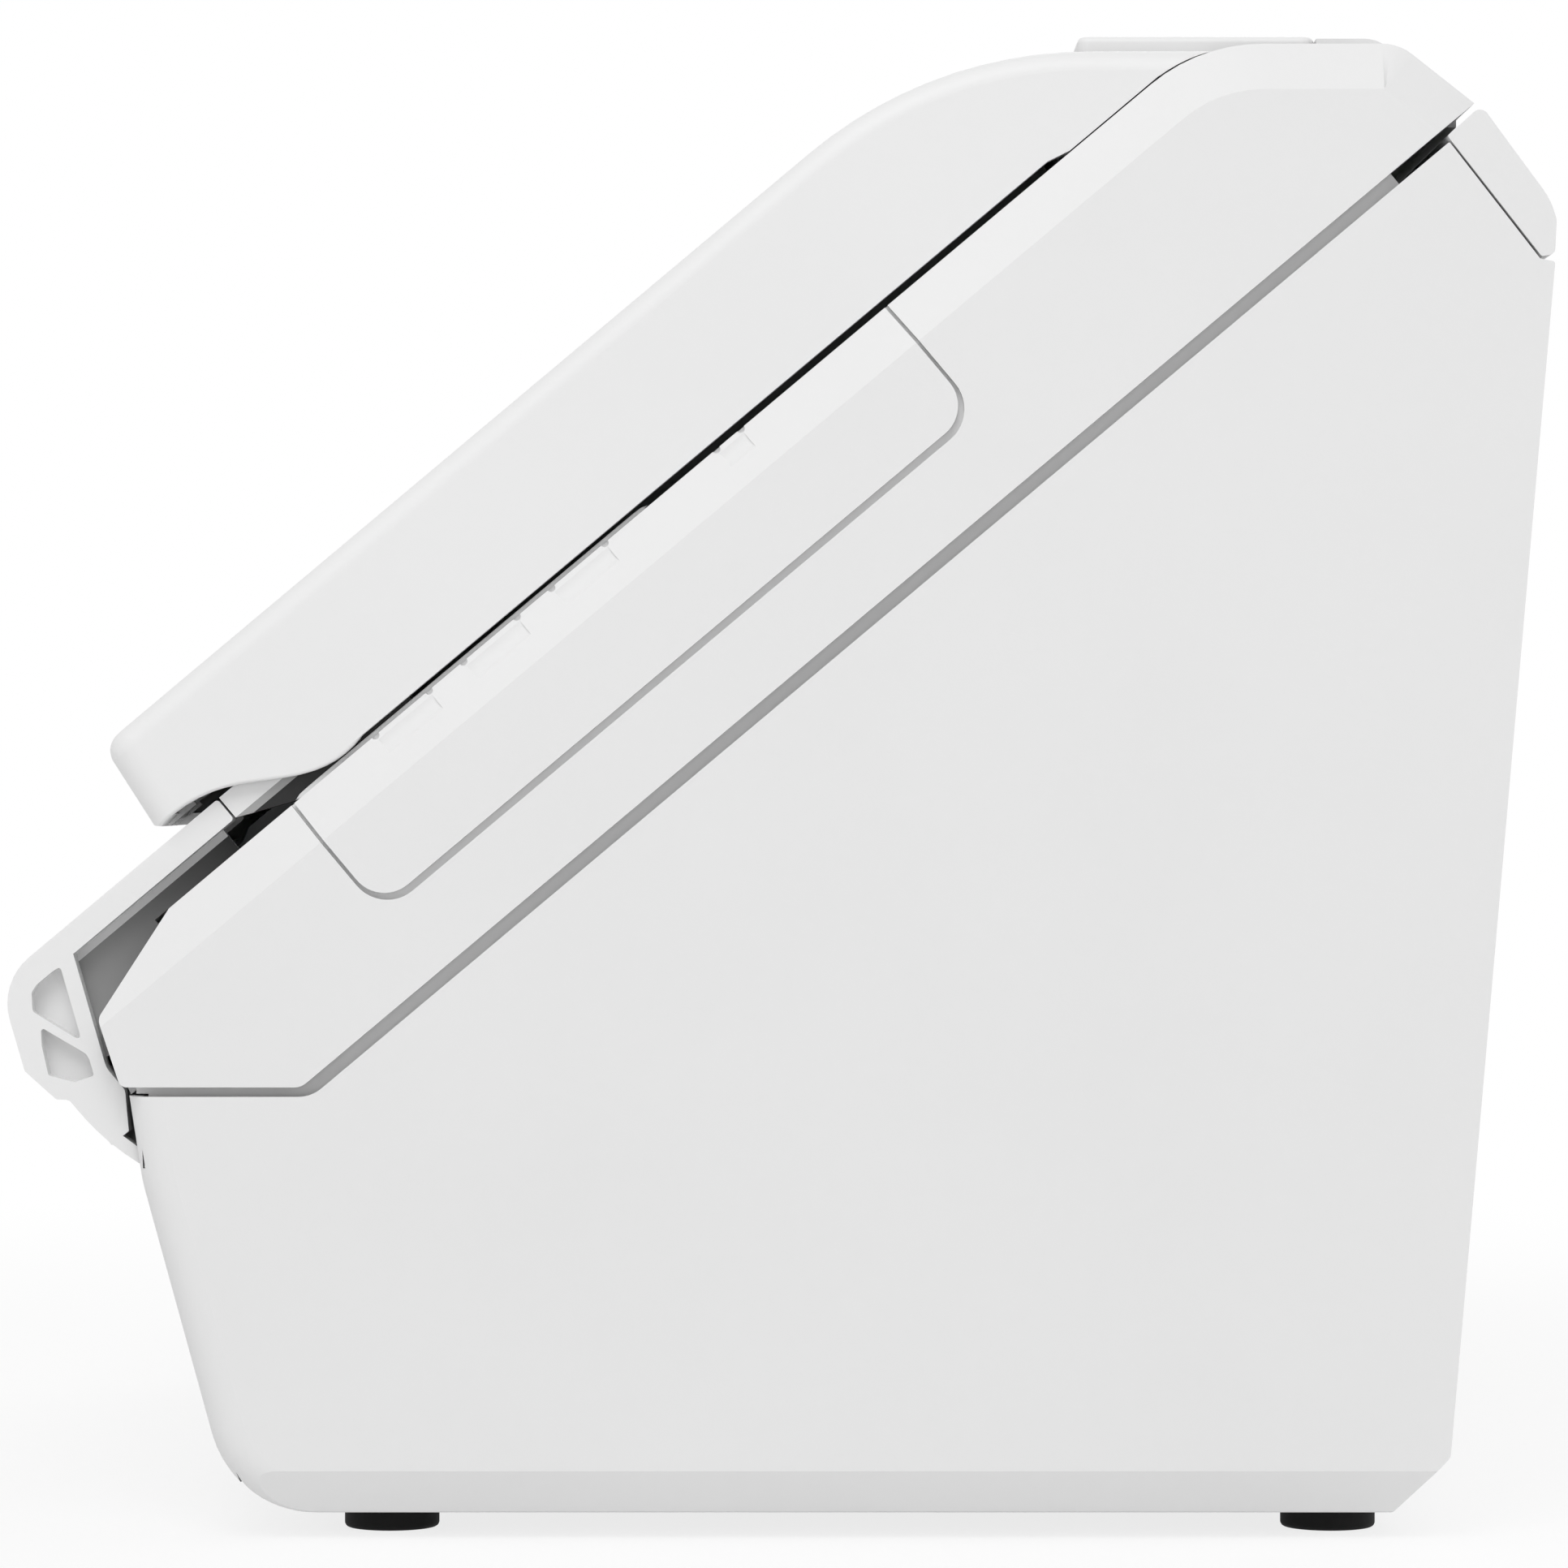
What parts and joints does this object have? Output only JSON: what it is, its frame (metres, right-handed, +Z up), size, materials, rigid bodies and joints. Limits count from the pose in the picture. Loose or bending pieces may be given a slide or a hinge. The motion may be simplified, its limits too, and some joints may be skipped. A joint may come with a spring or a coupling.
{
  "type": "document scanner",
  "caption": "Wedge-shaped sheet-fed desktop document scanner with a sloping hinged front cover, folding output tray, fold-back feed tray, document guides and belt-driven rollers.",
  "frame": {"origin": "middle of the footprint, on the surface that the rubber feet stand on", "axes": "+Z up, front and output tray towards -Y, the scanner's right-hand side towards +X"},
  "size_m": [0.306, 0.2577, 0.2517],
  "materials": {
    "white_housing": "fine grained moulded ABS, white",
    "white_cover": "fine grained moulded ABS, white",
    "grey_guide": "satin moulded paper path, grey",
    "dark_plastic": "satin moulded, black",
    "glass": "clear float glass",
    "display": "smoked acrylic window",
    "rubber": "matte moulded rubber",
    "roller_rubber": "ground rubber",
    "steel": "turned and plated steel",
    "sheet_steel": "zinc plated sheet",
    "gear_nylon": "natural acetal",
    "board": "solder-masked laminate"
  },
  "bodies": {
    "base": {"base_housing": "white_housing", "bottom_plate": "white_housing", "bottom_screws": "steel", "rubber_feet": "rubber", "middle_housing": "white_housing", "side_insert_right": "white_housing", "side_insert_left": "white_housing", "hinge_bracket_right": "grey_guide", "hinge_bracket_left": "grey_guide", "rear_cover": "white_housing", "lower_guide": "grey_guide", "lower_scan_glass": "glass", "lower_sensor_bar": "dark_plastic", "side_frame_right": "sheet_steel", "side_frame_left": "sheet_steel", "shaft_bushes": "gear_nylon", "drive_motor": "steel", "drive_belt": "dark_plastic", "circuit_board": "board", "power_inlet": "dark_plastic", "data_socket": "sheet_steel"},
    "front_cover": {"front_cover_shell": "white_cover", "upper_guide": "grey_guide", "upper_scan_glass": "glass", "upper_sensor_bar": "dark_plastic", "cover_hinge_pins": "steel", "display_glass": "display"},
    "release_lever": {"release_lever": "white_cover"},
    "power_button": {"power_button": "white_cover"},
    "start_button": {"start_button": "white_cover"},
    "stop_button": {"stop_button": "white_cover"},
    "output_tray": {"output_tray": "white_cover"},
    "output_extension": {"output_extension": "white_cover"},
    "feed_tray": {"feed_tray": "white_cover"},
    "feed_extension": {"feed_extension": "white_cover"},
    "guide_left": {"document_guide_left": "grey_guide"},
    "guide_right": {"document_guide_right": "grey_guide"},
    "guide_pinion": {"guide_pinion": "gear_nylon"},
    "transport_roller": {"transport_shaft": "steel", "transport_sleeves": "roller_rubber", "transport_pulley": "gear_nylon", "drive_gear": "gear_nylon"},
    "feed_roller": {"feed_shaft": "steel", "feed_sleeves": "roller_rubber", "feed_pulley": "gear_nylon"},
    "eject_roller": {"eject_shaft": "steel", "eject_sleeves": "roller_rubber", "eject_pulley": "gear_nylon"},
    "motor_pinion": {"motor_pinion": "gear_nylon"},
    "separation_roller": {"separation_roller": "roller_rubber"},
    "transport_idlers": {"transport_idlers": "roller_rubber"},
    "eject_idlers": {"eject_idlers": "roller_rubber"}
  },
  "joints": [
    {"name": "cover_hinge", "type": "hinge", "parent": "base", "child": "front_cover", "pos_m": [0, -0.10215, 0.12181], "axis": [1, 0, 0], "range_deg": [0, 90]},
    {"name": "release_slide", "type": "slide", "parent": "front_cover", "child": "release_lever", "axis": [0, -1, 0], "range_m": [0, 0.003], "stiffness_N_per_m": 400},
    {"name": "power_press", "type": "slide", "parent": "front_cover", "child": "power_button", "axis": [0, 0.6428, -0.766], "range_m": [0, 0.001], "stiffness_N_per_m": 600},
    {"name": "start_press", "type": "slide", "parent": "front_cover", "child": "start_button", "axis": [0, 0.6428, -0.766], "range_m": [0, 0.001], "stiffness_N_per_m": 600},
    {"name": "stop_press", "type": "slide", "parent": "front_cover", "child": "stop_button", "axis": [0, 0.6428, -0.766], "range_m": [0, 0.001], "stiffness_N_per_m": 600},
    {"name": "output_tray_hinge", "type": "hinge", "parent": "base", "child": "output_tray", "pos_m": [0, -0.08522, 0.0979], "axis": [1, 0, 0], "range_deg": [0, 110]},
    {"name": "output_extension_slide", "type": "slide", "parent": "output_tray", "child": "output_extension", "axis": [0, 0.766, 0.6428], "range_m": [0, 0.035]},
    {"name": "feed_tray_hinge", "type": "hinge", "parent": "base", "child": "feed_tray", "pos_m": [0, 0.0985, 0.2453], "axis": [-1, 0, 0], "range_deg": [0, 140]},
    {"name": "feed_extension_slide", "type": "slide", "parent": "feed_tray", "child": "feed_extension", "axis": [0, -1, 0], "range_m": [0, 0.034]},
    {"name": "guide_pinion_spin", "type": "hinge", "parent": "base", "child": "guide_pinion", "pos_m": [0, 0.06475, 0.24463], "axis": [0, -0.6428, 0.766], "range_deg": [0, 429.73]},
    {"name": "guide_left_slide", "type": "slide", "parent": "base", "child": "guide_left", "axis": [1, 0, 0], "range_m": [0, 0.06]},
    {"name": "guide_right_slide", "type": "slide", "parent": "base", "child": "guide_right", "axis": [-1, 0, 0], "range_m": [0, 0.06001]},
    {"name": "transport_spin", "type": "hinge", "parent": "base", "child": "transport_roller", "pos_m": [0, -0.00438, 0.14811], "axis": [1, 0, 0], "continuous": true},
    {"name": "feed_spin", "type": "hinge", "parent": "base", "child": "feed_roller", "pos_m": [0, 0.04388, 0.18861], "axis": [1, 0, 0], "continuous": true},
    {"name": "eject_spin", "type": "hinge", "parent": "base", "child": "eject_roller", "pos_m": [0, -0.06567, 0.09669], "axis": [1, 0, 0], "continuous": true},
    {"name": "motor_spin", "type": "hinge", "parent": "base", "child": "motor_pinion", "pos_m": [0, 0.01375, 0.14151], "axis": [1, 0, 0], "continuous": true},
    {"name": "separation_spin", "type": "hinge", "parent": "front_cover", "child": "separation_roller", "pos_m": [0, 0.03404, 0.20033], "axis": [1, 0, 0], "continuous": true},
    {"name": "transport_idler_spin", "type": "hinge", "parent": "front_cover", "child": "transport_idlers", "pos_m": [0, -0.01261, 0.15792], "axis": [1, 0, 0], "continuous": true},
    {"name": "eject_idler_spin", "type": "hinge", "parent": "front_cover", "child": "eject_idlers", "pos_m": [0, -0.0739, 0.10649], "axis": [1, 0, 0], "continuous": true}
  ],
  "couplings": [
    {"joint": "guide_right_slide", "follows": "guide_left_slide", "ratio": 1},
    {"joint": "guide_pinion_spin", "follows": "guide_left_slide", "rad_per_m": 125},
    {"joint": "feed_spin", "follows": "transport_spin", "ratio": 1},
    {"joint": "eject_spin", "follows": "transport_spin", "ratio": 1},
    {"joint": "motor_spin", "follows": "transport_spin", "ratio": -3},
    {"joint": "separation_spin", "follows": "transport_spin", "ratio": -1},
    {"joint": "transport_idler_spin", "follows": "transport_spin", "ratio": -1.5},
    {"joint": "eject_idler_spin", "follows": "transport_spin", "ratio": -1.5}
  ]
}
